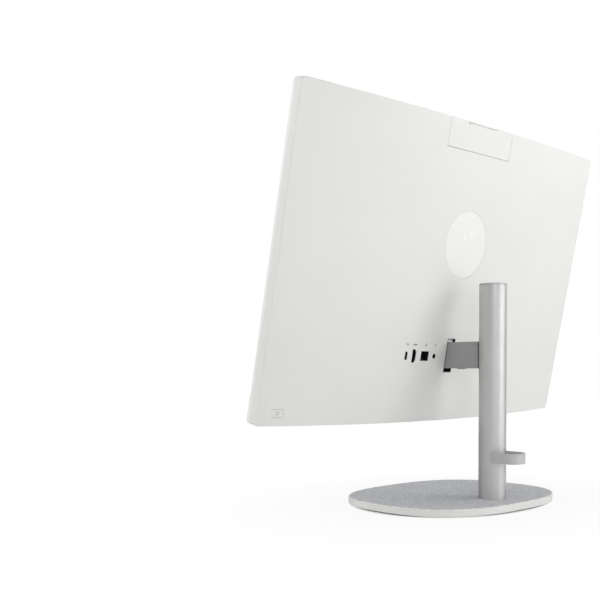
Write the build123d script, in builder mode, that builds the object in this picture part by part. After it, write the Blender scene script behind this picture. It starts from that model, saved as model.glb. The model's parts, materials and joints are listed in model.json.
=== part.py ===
from build123d import *
import math
import os

# All-in-one desktop computer on a round pole stand.
# Millimetres, +Z up.  The origin is the centre of the base on the table, the
# screen faces -Y and +X is on the right of somebody looking at the screen.

# ---------------------------------------------------------------- driving dimensions
# Stand
BASE_HALF_X = 126.3          # half width of the oval base
BASE_HALF_Y = 91.6           # half depth of the oval base
BASE_POWER = 2.66            # exponent of the oval: 2 is an ellipse
FOOT_HEIGHT = 1.0
SHELL_TOP = 8.2              # top of the moulded rim
SKIN_TOP = 9.0               # top of the textured covering
POLE_Y = 53.3                # the pole stands behind the centre of the base
POLE_RADIUS = 14.8
POLE_WALL = 2.0
POLE_TOP = 245.6
ARM_HALF_WIDTH = 6.0
ARM_HALF_HEIGHT = 14.95
CLIP_THICKNESS = 1.8
CLIP_BOTTOM = 49.8
CLIP_TOP = 60.9

# Head
HEAD_WIDTH = 540.0
HEAD_HEIGHT = 334.3
HEAD_TILT = 11.44            # degrees that the screen leans back at rest
HEAD_Y = -51.2               # lower front edge of the head
HEAD_Z = 98.7
EDGE_BOTTOM = 13.4           # thickness of the head along its lower corners
EDGE_TOP = 11.25             # and along its upper corners
SAG_BOTTOM = 21.0            # how far the middle of the back swells past the corners
SAG_TOP = 15.6
CORNER_TOP = 5.0             # corner radii seen from the front
CORNER_BOTTOM = 4.0
BACK_EDGE_ROUND = 0.8
WALL = 2.2                   # wall of the rear cover
FRONT_SPLIT = 3.2            # depth of the seam between front frame and rear cover
CHIN_HEIGHT = 29.4
CHIN_STEP = 1.2              # the chin stands this much in front of the glass
RIM = 1.6                    # frame left and right of the glass

# Tilt hinge, in the head: height up the head and depth behind the glass
HINGE_HEIGHT = 73.8
HINGE_DEPTH = 20.0
HINGE_SHAFT_RADIUS = 4.0
RUNNING_CLEARANCE = 0.05

# Depths of the layers behind the glass
GLASS_FRONT = 0.2
GLASS_BACK = 1.5
FILM_BACK = 2.2
GUIDE_BACK = 4.2
TRAY_BACK = 4.8
CHASSIS_FRONT = 6.4
CHASSIS_BACK = 7.2
BOARD_FRONT = 9.2
BOARD_BACK = 10.8

# Sockets in the back, all on one line: distance across the head and their height
PORT_HEIGHT = 75.0
USB_C_X = 76.8
HDMI_X = 63.7
ETHERNET_X = 45.2
POWER_JACK_X = 28.4
USB_A_X = (-80.0, -96.0)
SOCKET_RECESS = 0.3          # socket mouths sit this far below the cover's surface
SOCKET_CORNER = 0.4

# Pop-up camera and the panel that covers its guide
PANEL_HALF_WIDTH = 59.0
PANEL_HEIGHT = 31.2
CAMERA_CAP_WIDTH = 53.8
CAMERA_CAP_HEIGHT = 1.2

BADGE_RADIUS = 37.9
BADGE_HEIGHT = 202.4
BUTTON_X = 246.0
BUTTON_HEIGHT = 13.1
BUTTON_WIDTH = 14.0
BUTTON_TALL = 8.2
BUTTON_GAP = 0.35

FAN_X = 170.0
FAN_HEIGHT = 235.0

# ---------------------------------------------------------------- reference planes
TILT = math.radians(HEAD_TILT)
SCREEN = Plane(
    origin=(0, HEAD_Y, HEAD_Z),
    x_dir=(1, 0, 0),
    z_dir=(0, -math.cos(TILT), math.sin(TILT)),
)
HINGE = SCREEN.from_local_coords((0, HINGE_HEIGHT, -HINGE_DEPTH))
HINGE_Y = HINGE.Y
HINGE_Z = HINGE.Z
FROM_FRONT = (Align.CENTER, Align.CENTER, Align.MAX)     # on the head: towards the back
FROM_BACK = (Align.CENTER, Align.CENTER, Align.MIN)      # on the head: towards the screen
ON_TABLE = (Align.CENTER, Align.CENTER, Align.MIN)


def at_depth(depth):
    """Plane parallel to the screen, `depth` behind its front; x across, y up the head."""
    return SCREEN.offset(-depth)


def section(height):
    """Plane across the head at a height up it; x across, y towards the back."""
    return Plane(
        origin=SCREEN.from_local_coords((0, height, 0)),
        x_dir=(1, 0, 0),
        z_dir=(0, math.sin(TILT), math.cos(TILT)),
    )


def on_head(x, height, depth):
    """One place on the head, with z pointing out of the screen."""
    return Locations(SCREEN.location * Location((x, height, -depth)))


def edge_depth(height):
    return EDGE_BOTTOM + (EDGE_TOP - EDGE_BOTTOM) * height / HEAD_HEIGHT


def sag_depth(height):
    return SAG_BOTTOM + (SAG_TOP - SAG_BOTTOM) * height / HEAD_HEIGHT


def surface_depth(x, height):
    """Depth of the outside of the back at one place."""
    return edge_depth(height) + sag_depth(height) * (1 - (2 * x / HEAD_WIDTH) ** 2)


def head_block(inset, front):
    """Solid with the head's outside shape, made smaller by `inset`, from `front` backwards."""
    half = HEAD_WIDTH / 2 - inset
    along_depth = Axis((0, 0, 0), (0, math.cos(TILT), -math.sin(TILT)))
    with BuildPart() as block:
        for height in (inset, HEAD_HEIGHT - inset):
            corner = surface_depth(half, height) - inset
            middle = surface_depth(0, height) - inset
            with BuildSketch(section(height)):
                with BuildLine():
                    Polyline((-half, corner), (-half, front), (half, front), (half, corner))
                    ThreePointArc((half, corner), (0, middle), (-half, corner))
                make_face()
        loft(ruled=True)
        corners = block.edges().filter_by(along_depth).sort_by(Axis.Z)
        fillet(corners[-2:], CORNER_TOP - min(inset, CORNER_TOP - 1))
        corners = block.edges().filter_by(along_depth).sort_by(Axis.Z)
        fillet(corners[:2], CORNER_BOTTOM - min(inset, CORNER_BOTTOM - 1))
        if inset == 0:
            back = block.faces().sort_by(along_depth)[-1]
            fillet(back.edges(), BACK_EDGE_ROUND)
    return block.part


def head_shell():
    """The walls of the head, behind the seam with the front frame."""
    with BuildPart() as walls:
        add(OUTSIDE)
        add(INSIDE, mode=Mode.SUBTRACT)
        split(bisect_by=at_depth(FRONT_SPLIT), keep=Keep.BOTTOM)
    return walls.part


def surface_disc(radius, top, bottom):
    """Round piece of the back's surface, between two depths below it."""
    above = head_block(top, 0)
    below = head_block(bottom, 0)
    with BuildPart() as disc:
        with BuildSketch(at_depth(HINGE_DEPTH)):
            with Locations((0, BADGE_HEIGHT)):
                Circle(radius)
        extrude(amount=-HINGE_DEPTH)
        add(above, mode=Mode.INTERSECT)
        add(below, mode=Mode.SUBTRACT)
    return disc.part


def oval(inset):
    """Closed outline of the base, drawn in the current sketch."""
    points = 48
    line = []
    for step in range(points):
        angle = 2 * math.pi * step / points
        across = math.copysign(abs(math.cos(angle)) ** (2 / BASE_POWER), math.cos(angle))
        along = math.copysign(abs(math.sin(angle)) ** (2 / BASE_POWER), math.sin(angle))
        line.append(((BASE_HALF_X - inset) * across, (BASE_HALF_Y - inset) * along))
    with BuildLine() as outline:
        Spline(*line, periodic=True)
    make_face(outline.edges())


# ================================================================ stand
POCKET_TOP = 6.8             # underside of the rim's top wall
PLATE_BOTTOM = 2.4
RIM_WALL = 2.6
RIM_TOP_ROUND = 0.5
RIM_BOTTOM_ROUND = 0.8
PLATE_GAP = 0.4              # around the plate and the underlay, inside the rim
SKIN_MARGIN = 1.0            # bare rim around the covering
POLE_HOLE = POLE_RADIUS + 0.2
PLUG_RADIUS = POLE_RADIUS - POLE_WALL - 0.05     # everything that slides into the pole
FOOT_SCREW_CIRCLE = 7.5
SCREW_M4 = 2.0
SCREW_M4_HEAD = 3.9
SCREW_M4_SINK = 2.0          # depth of the countersunk head
SCREW_CLEARANCE = 0.1
FOOT_SCREW_LENGTH = 16.0

# Moulded rim and top of the base, open below
with BuildPart() as base_shell:
    with BuildSketch(Plane.XY.offset(FOOT_HEIGHT)):
        oval(0)
    extrude(amount=SHELL_TOP - FOOT_HEIGHT)
    fillet(base_shell.faces().sort_by(Axis.Z)[-1].edges(), RIM_TOP_ROUND)
    fillet(base_shell.faces().sort_by(Axis.Z)[0].edges(), RIM_BOTTOM_ROUND)
    with BuildSketch(Plane.XY.offset(FOOT_HEIGHT)):
        oval(RIM_WALL)
    extrude(amount=POCKET_TOP - FOOT_HEIGHT, mode=Mode.SUBTRACT)
    with Locations((0, POLE_Y, FOOT_HEIGHT)):
        Cylinder(POLE_HOLE, SHELL_TOP, align=ON_TABLE, mode=Mode.SUBTRACT)

# Woven covering bonded to the top of the base
with BuildPart() as base_skin:
    with BuildSketch(Plane.XY.offset(SHELL_TOP)):
        oval(SKIN_MARGIN)
        with Locations((0, POLE_Y)):
            Circle(POLE_HOLE, mode=Mode.SUBTRACT)
    extrude(amount=SKIN_TOP - SHELL_TOP)

# Steel plate that keeps the computer from tipping
with BuildPart() as base_weight:
    with BuildSketch(Plane.XY.offset(PLATE_BOTTOM)):
        oval(RIM_WALL + PLATE_GAP)
        with Locations((0, POLE_Y)):
            with PolarLocations(FOOT_SCREW_CIRCLE, 3):
                Circle(SCREW_M4 + SCREW_CLEARANCE, mode=Mode.SUBTRACT)
    extrude(amount=POCKET_TOP - PLATE_BOTTOM)
    with Locations((0, POLE_Y, PLATE_BOTTOM)):
        with PolarLocations(FOOT_SCREW_CIRCLE, 3):
            Cone(
                SCREW_M4_HEAD + 3 * SCREW_CLEARANCE,
                SCREW_M4 + SCREW_CLEARANCE,
                SCREW_M4_SINK + SCREW_CLEARANCE,
                align=ON_TABLE,
                mode=Mode.SUBTRACT,
            )

# Thin plastic sheet that closes the base from below
with BuildPart() as base_underlay:
    with BuildSketch(Plane.XY.offset(FOOT_HEIGHT)):
        oval(RIM_WALL + PLATE_GAP)
    extrude(amount=PLATE_BOTTOM - FOOT_HEIGHT)

# Four rubber feet under the corners of the oval
FOOT_X = 82.0
FOOT_Y = 62.0
FOOT_LENGTH = 44.0
FOOT_WIDTH = 12.0
FOOT_TURN = 35               # degrees, so that each foot follows the edge
with BuildPart() as rubber_feet:
    with BuildSketch(Plane.XY):
        for side_x in (-1, 1):
            for side_y in (-1, 1):
                turn = -FOOT_TURN * side_x * side_y
                with Locations(Location((side_x * FOOT_X, side_y * FOOT_Y), turn)):
                    SlotOverall(FOOT_LENGTH, FOOT_WIDTH)
    extrude(amount=FOOT_HEIGHT)

# Three countersunk screws that hold the pole to the plate
with BuildPart() as base_screws:
    with Locations((0, POLE_Y, PLATE_BOTTOM + 0.1)):
        with PolarLocations(FOOT_SCREW_CIRCLE, 3):
            Cone(SCREW_M4_HEAD, SCREW_M4, SCREW_M4_SINK, align=ON_TABLE)
            Cylinder(SCREW_M4 - 0.02, FOOT_SCREW_LENGTH, align=ON_TABLE)
            Cylinder(1.2, 1.0, align=ON_TABLE, mode=Mode.SUBTRACT)


def clip_screw_seat(turn):
    """Place of the cable clip's screw on the pole's -X side; `turn` of 90 faces the pole."""
    outside = -POLE_RADIUS - CLIP_THICKNESS
    return Location((outside, POLE_Y - 2, (CLIP_BOTTOM + CLIP_TOP) / 2), (0, turn, 0))


CLIP_SCREW = 1.55
CLIP_SCREW_HOLE = 1.6
CLIP_SCREW_HEAD = 2.8
CLIP_SCREW_LENGTH = 3.6


# Round aluminium tube with a window for the arm
TUBE_TOP = POLE_TOP - 1.7
CAP_SEAM = 0.45              # shadow line between the pole and its cap
TANG_HALF_WIDTH = 3.0
TANG_HALF_HEIGHT = 10.0
TANG_BACK = POLE_Y + 7.8
TANG_SCREWS_Y = (POLE_Y - 2, POLE_Y + 5)
TANG_SCREW = 1.65
TANG_SCREW_HOLE = 1.7
FIT = 0.1                    # play of the tang in the insert
with BuildPart() as pole_tube:
    with BuildSketch(Plane.XY.offset(POCKET_TOP)):
        with Locations((0, POLE_Y)):
            Circle(POLE_RADIUS)
            Circle(POLE_RADIUS - POLE_WALL, mode=Mode.SUBTRACT)
    extrude(amount=TUBE_TOP - POCKET_TOP)
    with Locations((0, POLE_Y - POLE_RADIUS, HINGE_Z)):
        Box(2 * TANG_HALF_WIDTH + 0.6, 10, 2 * TANG_HALF_HEIGHT + 0.6, mode=Mode.SUBTRACT)
    with Locations(clip_screw_seat(90)):
        Cylinder(CLIP_SCREW_HOLE, 8, mode=Mode.SUBTRACT)

# Cap that closes the top of the pole, with a spigot inside the tube
SPIGOT_LENGTH = 11.0
SPIGOT_WALL = 2.25
with BuildPart() as pole_cap:
    with Locations((0, POLE_Y, TUBE_TOP + CAP_SEAM)):
        Cylinder(POLE_RADIUS, POLE_TOP - TUBE_TOP - CAP_SEAM, align=ON_TABLE)
    chamfer(pole_cap.edges().sort_by(Axis.Z)[-1], 0.5)
    with Locations((0, POLE_Y, TUBE_TOP - SPIGOT_LENGTH)):
        Cylinder(PLUG_RADIUS, SPIGOT_LENGTH + CAP_SEAM, align=ON_TABLE)
        Cylinder(PLUG_RADIUS - SPIGOT_WALL, SPIGOT_LENGTH - 1, align=ON_TABLE, mode=Mode.SUBTRACT)

# Solid plug in the foot of the pole that takes the three screws
FOOT_PLUG_LENGTH = 28.0
with BuildPart() as pole_foot:
    with BuildSketch(Plane.XY.offset(POCKET_TOP)):
        with Locations((0, POLE_Y)):
            Circle(PLUG_RADIUS)
            with PolarLocations(FOOT_SCREW_CIRCLE, 3):
                Circle(SCREW_M4, mode=Mode.SUBTRACT)
    extrude(amount=FOOT_PLUG_LENGTH)

# Solid block inside the pole that grips the arm's tang
INSERT_HALF_HEIGHT = 20.0
with BuildPart() as arm_insert:
    with Locations((0, POLE_Y, HINGE_Z)):
        Cylinder(PLUG_RADIUS, 2 * INSERT_HALF_HEIGHT)
    with Locations((0, TANG_BACK + FIT, HINGE_Z)):
        Box(
            2 * TANG_HALF_WIDTH + FIT,
            3 * POLE_RADIUS,
            2 * TANG_HALF_HEIGHT + FIT,
            align=(Align.CENTER, Align.MAX, Align.CENTER),
            mode=Mode.SUBTRACT,
        )
    with Locations(*[(0, y, HINGE_Z) for y in TANG_SCREWS_Y]):
        Cylinder(TANG_SCREW_HOLE, 3 * INSERT_HALF_HEIGHT, mode=Mode.SUBTRACT)

# Two screws that run down through the block and the tang
TANG_SCREW_HEAD = 2.9
TANG_SCREW_HEAD_TALL = 3.0
KEY_SOCKET = 1.4
with BuildPart() as tang_screws:
    with Locations(*[(0, y, HINGE_Z + INSERT_HALF_HEIGHT) for y in TANG_SCREWS_Y]):
        with Locations((0, 0, 2 - 2 * INSERT_HALF_HEIGHT)):
            Cylinder(TANG_SCREW, 2 * INSERT_HALF_HEIGHT, align=ON_TABLE)
        Cylinder(TANG_SCREW_HEAD, TANG_SCREW_HEAD_TALL, align=ON_TABLE)
        with Locations((0, 0, TANG_SCREW_HEAD_TALL - 1.8)):
            Cylinder(KEY_SOCKET, 2, align=ON_TABLE, mode=Mode.SUBTRACT)

# Cast core of the arm: a tang in the pole, a plate, a raised shoulder and the hinge knuckle
KNUCKLE_RADIUS = 8.0
SHOULDER_HALF_WIDTH = 4.5
SHOULDER_FRONT = 7.0
SHOULDER_BACK = 13.6
SHOULDER_HEIGHT = 18.0
with BuildPart() as arm_core:
    with BuildSketch(Plane.YZ.offset(-TANG_HALF_WIDTH)):
        with Locations(((HINGE_Y + TANG_BACK) / 2, HINGE_Z)):
            Rectangle(TANG_BACK - HINGE_Y, 2 * TANG_HALF_HEIGHT)
    extrude(amount=2 * TANG_HALF_WIDTH)
    with BuildSketch(Plane.YZ.offset(-SHOULDER_HALF_WIDTH)):
        with Locations((HINGE_Y + (SHOULDER_FRONT + SHOULDER_BACK) / 2, HINGE_Z)):
            Rectangle(SHOULDER_BACK - SHOULDER_FRONT, 2 * ARM_HALF_HEIGHT - 4)
        with Locations((HINGE_Y + (SHOULDER_FRONT + SHOULDER_BACK) / 2, HINGE_Z + SHOULDER_HEIGHT / 2)):
            Rectangle(SHOULDER_BACK - SHOULDER_FRONT, SHOULDER_HEIGHT)
    extrude(amount=2 * SHOULDER_HALF_WIDTH)
    with BuildSketch(Plane.YZ.offset(-ARM_HALF_WIDTH)):
        with Locations((HINGE_Y, HINGE_Z)):
            Circle(KNUCKLE_RADIUS)
    extrude(amount=2 * ARM_HALF_WIDTH)
    with BuildSketch(Plane.YZ.offset(-ARM_HALF_WIDTH)):
        with Locations((HINGE_Y, HINGE_Z)):
            Circle(HINGE_SHAFT_RADIUS + RUNNING_CLEARANCE)
    extrude(amount=2 * ARM_HALF_WIDTH, mode=Mode.SUBTRACT)
    with Locations(*[(0, y, HINGE_Z) for y in TANG_SCREWS_Y]):
        Cylinder(TANG_SCREW_HOLE, 3 * INSERT_HALF_HEIGHT, mode=Mode.SUBTRACT)

# Flat sleeve that dresses the arm from the knuckle to the pole, open above the shoulder
SLEEVE_FRONT = HINGE_Y + KNUCKLE_RADIUS + 0.4
SLEEVE_NOTCH_END = HINGE_Y + SHOULDER_BACK + 0.4
SLEEVE_WALL = 1.4
POLE_GAP = 1.4
with BuildPart() as arm_sleeve:
    with BuildSketch(Plane.XZ.offset(-SLEEVE_FRONT)):
        with Locations((0, HINGE_Z)):
            RectangleRounded(2 * ARM_HALF_WIDTH, 2 * ARM_HALF_HEIGHT, 0.6)
            RectangleRounded(
                2 * (ARM_HALF_WIDTH - SLEEVE_WALL),
                2 * (ARM_HALF_HEIGHT - SLEEVE_WALL),
                0.4,
                mode=Mode.SUBTRACT,
            )
    extrude(amount=-(POLE_Y - SLEEVE_FRONT))
    with Locations((0, SLEEVE_NOTCH_END, HINGE_Z + ARM_HALF_HEIGHT)):
        Box(
            2 * (ARM_HALF_WIDTH - SLEEVE_WALL),
            SLEEVE_NOTCH_END - SLEEVE_FRONT + 1,
            2 * SLEEVE_WALL + 1,
            align=(Align.CENTER, Align.MAX, Align.CENTER),
            mode=Mode.SUBTRACT,
        )
    with Locations((0, POLE_Y, HINGE_Z)):
        Cylinder(POLE_RADIUS + POLE_GAP, 4 * ARM_HALF_HEIGHT, mode=Mode.SUBTRACT)

# Shallow oval cap over the screw that clamps the sleeve, under the arm
CAP_Y = 12.8
CAP_LENGTH = 10.8
CAP_WIDTH = 6.8
CAP_TALL = 1.0
with BuildPart() as arm_screw_cap:
    with BuildSketch(Plane.XY.offset(HINGE_Z - ARM_HALF_HEIGHT)):
        with Locations(Location((0, CAP_Y), 90)):
            SlotOverall(CAP_LENGTH, CAP_WIDTH)
    extrude(amount=-CAP_TALL)
    fillet(arm_screw_cap.faces().sort_by(Axis.Z)[0].edges(), 0.3)

# Sprung band that holds cables behind the pole; it hugs the pole's -X side
CLIP_BACK = 38.1
CLIP_TURN = 16.6
CLIP_NEAR_TURN = 9.4
CLIP_END = 7.7
CLIP_FREE_X = 15.8
CLIP_CORNER = 2.6
CLIP_HUG_START = 235         # degrees round the pole where the band's other end lies
CLIP_HUG = 55
with BuildPart() as cable_clip:
    with BuildSketch(Plane((0, POLE_Y, CLIP_BOTTOM))):
        with BuildLine():
            hug = CenterArc((0, 0), POLE_RADIUS + CLIP_THICKNESS, CLIP_HUG_START, -CLIP_HUG)
            leg = Line(hug @ 1, (-POLE_RADIUS - CLIP_THICKNESS, CLIP_BACK - CLIP_TURN))
            turn = JernArc(leg @ 1, leg % 1, CLIP_TURN, -90)
            back = Line(turn @ 1, (CLIP_FREE_X - CLIP_NEAR_TURN, CLIP_BACK))
            near = JernArc(back @ 1, back % 1, CLIP_NEAR_TURN, -90)
            Line(near @ 1, (CLIP_FREE_X, CLIP_END))
            offset(amount=CLIP_THICKNESS, side=Side.RIGHT)
        make_face()
    extrude(amount=CLIP_TOP - CLIP_BOTTOM)
    across_band = cable_clip.edges().filter_by(Axis.X)
    free_end = across_band.filter_by(lambda edge: edge.length < 2 * CLIP_THICKNESS)
    fillet(free_end, CLIP_CORNER)
    with Locations(clip_screw_seat(90)):
        Cylinder(CLIP_SCREW_HOLE, 12, mode=Mode.SUBTRACT)

# Screw that holds the band to the pole
with BuildPart() as clip_screw:
    with Locations(clip_screw_seat(90)):
        Cylinder(CLIP_SCREW, CLIP_SCREW_LENGTH, align=ON_TABLE)
    with Locations(clip_screw_seat(-90)):
        Cylinder(CLIP_SCREW_HEAD, 1.2, align=ON_TABLE)
        with Locations((0, 0, 0.6)):
            Box(3.6, 0.8, 1.2, align=ON_TABLE, mode=Mode.SUBTRACT)


# ================================================================ head: shells
OUTSIDE = head_block(0, 0)
INSIDE = head_block(WALL, -5)
SHELL = head_shell()
SLOT_HEIGHT = 75.9
SLOT_WIDTH = 15.0
SLOT_TALL = 39.0
SLOT_CORNER = 1.2
LINER_GAP = 0.05
LINER_WALL = 0.5
LINER_RECESS = 0.25          # the liner ends this far below the surface
LINER_FRONT = 29.4
HDMI_HALF_WIDTH = 3.15
HDMI_HALF_TALL = 7.65
HDMI_CUT_ACROSS = 2.4        # size of its two cut corners
HDMI_CUT_UP = 2.8
USB_C_WIDTH = 4.2
USB_C_TALL = 9.9
ETHERNET_WIDTH = 13.4
ETHERNET_TALL = 11.0
JACK_RADIUS = 2.9
USB_A_WIDTH = 6.0
USB_A_TALL = 13.4
BOSS_X = 225.0
BOSS_HEIGHTS = (48.0, 170.0, 286.0)
BOSS_RADIUS = 4.0
COVER_SCREW = 1.5
PANEL_SEAM = 0.45            # gap round the camera panel
CAP_GAP = 0.4                # gap round the camera's cap
PANEL_FRONT = 9.0            # the panel's part of the top wall starts at this depth
CAP_FRONT = 4.9              # and the camera's cap at this one
BADGE_DEPTH = 1.0
BADGE_GAP = 0.3
BUTTON_CORNER = 1.3
BEYOND = 60.0                # reaches past the head when something is cut from it
VENT_PITCH = 6.0


def hdmi_face(inset):
    """D-shaped face standing on end, its cut corners on the -X side."""
    half = HDMI_HALF_WIDTH - inset
    tall = HDMI_HALF_TALL - inset
    with BuildSketch() as face:
        with BuildLine():
            Polyline(
                (half, tall),
                (half, -tall),
                (-half + HDMI_CUT_ACROSS, -tall),
                (-half, -tall + HDMI_CUT_UP),
                (-half, tall - HDMI_CUT_UP),
                (-half + HDMI_CUT_ACROSS, tall),
                close=True,
            )
        make_face()
    return face.sketch


def port_outlines(inset):
    """Outlines of every socket's mouth, drawn in the current sketch."""
    with Locations((USB_C_X, PORT_HEIGHT)):
        SlotOverall(USB_C_TALL - 2 * inset, USB_C_WIDTH - 2 * inset, rotation=90)
    with Locations((HDMI_X, PORT_HEIGHT)):
        add(hdmi_face(inset))
    with Locations((ETHERNET_X, PORT_HEIGHT)):
        RectangleRounded(ETHERNET_WIDTH - 2 * inset, ETHERNET_TALL - 2 * inset, SOCKET_CORNER)
    with Locations((POWER_JACK_X, PORT_HEIGHT)):
        Circle(JACK_RADIUS - inset)
    with Locations(*[(x, PORT_HEIGHT) for x in USB_A_X]):
        RectangleRounded(USB_A_WIDTH - 2 * inset, USB_A_TALL - 2 * inset, SOCKET_CORNER)


def screw_bosses():
    """Six bosses inside the cover, from the chassis to the back wall."""
    wall_inside = head_block(WALL - 0.3, 0)
    with BuildPart() as bosses:
        with BuildSketch(at_depth(CHASSIS_BACK)):
            for height in BOSS_HEIGHTS:
                with Locations((-BOSS_X, height), (BOSS_X, height)):
                    Circle(BOSS_RADIUS)
                    Circle(COVER_SCREW, mode=Mode.SUBTRACT)
        extrude(amount=-20)
        add(wall_inside, mode=Mode.INTERSECT)
    return bosses.part


BOSSES = screw_bosses()
BADGE_SEAT = surface_disc(BADGE_RADIUS, 0, BADGE_DEPTH)
BADGE_DISC = surface_disc(BADGE_RADIUS - BADGE_GAP, 0, BADGE_DEPTH - 0.05)

# White rear cover: one moulding with the sides, the swelling back and every opening
with BuildPart() as rear_cover:
    add(SHELL)
    add(BOSSES)
    with BuildSketch(at_depth(HINGE_DEPTH)):
        port_outlines(0)
        with Locations((0, SLOT_HEIGHT)):
            RectangleRounded(SLOT_WIDTH, SLOT_TALL, SLOT_CORNER)
    extrude(amount=-HINGE_DEPTH, mode=Mode.SUBTRACT)
    with BuildSketch(at_depth(11)):
        with Locations((BUTTON_X, BUTTON_HEIGHT)):
            RectangleRounded(
                BUTTON_WIDTH + 2 * BUTTON_GAP,
                BUTTON_TALL + 2 * BUTTON_GAP,
                BUTTON_CORNER + BUTTON_GAP,
            )
    extrude(amount=-10, mode=Mode.SUBTRACT)
    # opening for the camera panel, then the camera's own slot in the front strip of the top wall
    with BuildSketch(at_depth(PANEL_FRONT)):
        with Locations((0, HEAD_HEIGHT - PANEL_HEIGHT)):
            Rectangle(2 * PANEL_HALF_WIDTH, BEYOND, align=(Align.CENTER, Align.MIN))
    extrude(amount=-BEYOND, mode=Mode.SUBTRACT)
    with BuildSketch(at_depth(CAP_FRONT - CAP_GAP)):
        with Locations((0, HEAD_HEIGHT - 10)):
            Rectangle(CAMERA_CAP_WIDTH + 2 * CAP_GAP, BEYOND, align=(Align.CENTER, Align.MIN))
    extrude(amount=-5, mode=Mode.SUBTRACT)
    add(BADGE_SEAT, mode=Mode.SUBTRACT)
    # air intake in the bottom wall and speaker slots beside it
    with BuildSketch(section(-1)):
        with Locations((0, 18)):
            with GridLocations(VENT_PITCH, 2 * VENT_PITCH, 28, 2):
                SlotOverall(8, 2.4, rotation=90)
        for side in (-1, 1):
            with Locations((side * 186, 11.5)):
                with GridLocations(5, 8, 16, 1):
                    SlotOverall(7, 2, rotation=90)
    extrude(amount=6, mode=Mode.SUBTRACT)
    # warm air leaves through the top wall
    with BuildSketch(section(HEAD_HEIGHT + 1)):
        for side in (-1, 1):
            with Locations((side * 132, 12.5)):
                with GridLocations(5, 8, 22, 1):
                    SlotOverall(8, 2.2, rotation=90)
    extrude(amount=-6, mode=Mode.SUBTRACT)

LINER_SURFACE = head_block(LINER_RECESS, 0)
LINER_INSET = LINER_GAP + LINER_WALL

# Black liner that finishes the edge of the arm slot
with BuildPart() as slot_liner:
    with BuildSketch(at_depth(LINER_FRONT)):
        with Locations((0, SLOT_HEIGHT)):
            RectangleRounded(SLOT_WIDTH - 2 * LINER_GAP, SLOT_TALL - 2 * LINER_GAP, SLOT_CORNER - LINER_GAP)
            RectangleRounded(
                SLOT_WIDTH - 2 * LINER_INSET,
                SLOT_TALL - 2 * LINER_INSET,
                SLOT_CORNER - LINER_INSET,
                mode=Mode.SUBTRACT,
            )
    extrude(amount=-8)
    add(LINER_SURFACE, mode=Mode.INTERSECT)

# Panel over the camera guide: a piece of the back and top walls of its own
CAMERA_HALF_WIDTH = 26.0
CAMERA_BACK = 18.2
NOTCH_WIDTH = 2.6
NOTCH_TALL = 1.3
with BuildPart() as camera_panel:
    add(SHELL)
    with BuildSketch(at_depth(PANEL_FRONT + PANEL_SEAM)):
        with Locations((0, HEAD_HEIGHT - PANEL_HEIGHT + PANEL_SEAM)):
            Rectangle(2 * (PANEL_HALF_WIDTH - PANEL_SEAM), BEYOND, align=(Align.CENTER, Align.MIN))
    extrude(amount=-BEYOND, mode=Mode.INTERSECT)
    with BuildSketch(at_depth(PANEL_FRONT - 1)):
        with Locations((0, HEAD_HEIGHT - CAMERA_CAP_HEIGHT - CAP_GAP)):
            Rectangle(CAMERA_CAP_WIDTH + 2 * CAP_GAP, BEYOND, align=(Align.CENTER, Align.MIN))
    extrude(amount=-BEYOND, mode=Mode.SUBTRACT)
    with BuildSketch(at_depth(PANEL_FRONT - 1)):
        with Locations((0, HEAD_HEIGHT - 10)):
            Rectangle(2 * (CAMERA_HALF_WIDTH + CAP_GAP), BEYOND, align=(Align.CENTER, Align.MIN))
    extrude(amount=PANEL_FRONT - 1 - CAMERA_BACK - 0.6, mode=Mode.SUBTRACT)
    # nail notch at one end of the cap
    notch_x = CAMERA_CAP_WIDTH / 2 + CAP_GAP - NOTCH_WIDTH / 2
    with on_head(notch_x, HEAD_HEIGHT - CAMERA_CAP_HEIGHT, surface_depth(0, HEAD_HEIGHT)):
        Box(NOTCH_WIDTH, 2 * NOTCH_TALL, 3 * WALL, mode=Mode.SUBTRACT)

# Round glossy badge, plain, set flush in the back
with BuildPart() as badge:
    add(BADGE_DISC)

WINDOW_TOP = HEAD_HEIGHT - RIM
WINDOW_CORNER = 0.8          # lower corners of the window
CHIN_POCKET_FRONT = 1.6      # the frame is hollow behind the chin from this depth
CHIN_ROUND = 0.6


def glass_face(gap):
    """Outline of the frame's window, made smaller by `gap`; its upper corners follow the frame."""
    with BuildSketch() as face:
        with Locations((0, (CHIN_HEIGHT + WINDOW_TOP) / 2)):
            Rectangle(HEAD_WIDTH - 2 * (RIM + gap), WINDOW_TOP - CHIN_HEIGHT - 2 * gap)
        fillet(face.vertices().group_by(Axis.Y)[-1], CORNER_TOP - RIM - gap)
        fillet(face.vertices().group_by(Axis.Y)[0], WINDOW_CORNER)
    return face.sketch


# Front frame: the thin rim around the glass and the backing of the chin
with BuildPart() as front_frame:
    with BuildSketch(SCREEN) as frame_face:
        with Locations((0, HEAD_HEIGHT / 2)):
            Rectangle(HEAD_WIDTH, HEAD_HEIGHT)
        fillet(frame_face.vertices().group_by(Axis.Y)[-1], CORNER_TOP)
        fillet(frame_face.vertices().group_by(Axis.Y)[0], CORNER_BOTTOM)
        add(glass_face(0), mode=Mode.SUBTRACT)
    extrude(amount=-FRONT_SPLIT)
    with BuildSketch(at_depth(CHIN_POCKET_FRONT)):
        with Locations((0, CHIN_HEIGHT / 2)):
            RectangleRounded(HEAD_WIDTH - 8, CHIN_HEIGHT - 6, 2)
    extrude(amount=-3, mode=Mode.SUBTRACT)

# Chin strip bonded to the frame below the glass, a step in front of it
with BuildPart() as chin:
    with BuildSketch(SCREEN) as chin_face:
        with Locations((0, CHIN_HEIGHT / 2)):
            Rectangle(HEAD_WIDTH, CHIN_HEIGHT)
        fillet(chin_face.vertices().group_by(Axis.Y)[0], CORNER_BOTTOM)
    extrude(amount=CHIN_STEP)
    fillet(chin.faces().sort_by(Axis((0, 0, 0), SCREEN.z_dir))[-1].edges(), CHIN_ROUND)


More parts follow.
